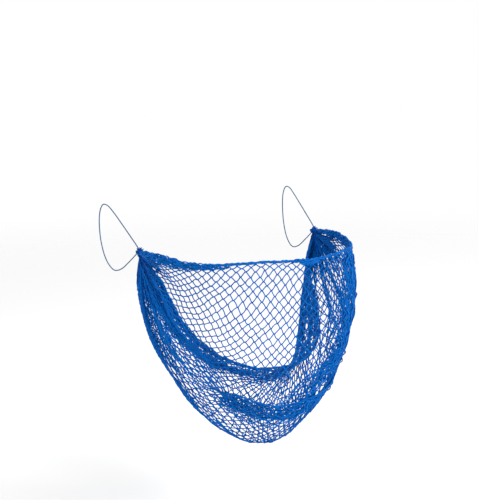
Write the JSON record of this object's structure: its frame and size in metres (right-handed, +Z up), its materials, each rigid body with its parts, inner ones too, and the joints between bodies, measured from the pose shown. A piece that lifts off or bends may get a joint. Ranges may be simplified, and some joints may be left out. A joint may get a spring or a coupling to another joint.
{
  "type": "disposable beard cover",
  "caption": "Disposable beard cover: a bag of knotless diamond net under the chin, gathered and tied at each side, with an elastic thread loop for each ear.",
  "frame": {"origin": "midway between the two tie knots, where the ears carry the cover", "axes": "+Z up along the upright wearer, the wearer faces -Y, the wearer's right is -X"},
  "size_m": [0.1544, 0.14, 0.1634],
  "materials": {
    "net_yarn": "fine twisted nylon yarn, bright blue, soft sheen",
    "elastic": "thin covered elastic thread, grey blue"
  },
  "bodies": {
    "root": {"net_pouch": "net_yarn", "upper_rim": "net_yarn", "lower_rim": "net_yarn", "right_gather": "net_yarn", "left_gather": "net_yarn", "right_knot": "net_yarn", "left_knot": "net_yarn", "right_ear_loop": "elastic", "left_ear_loop": "elastic"}
  },
  "joints": []
}
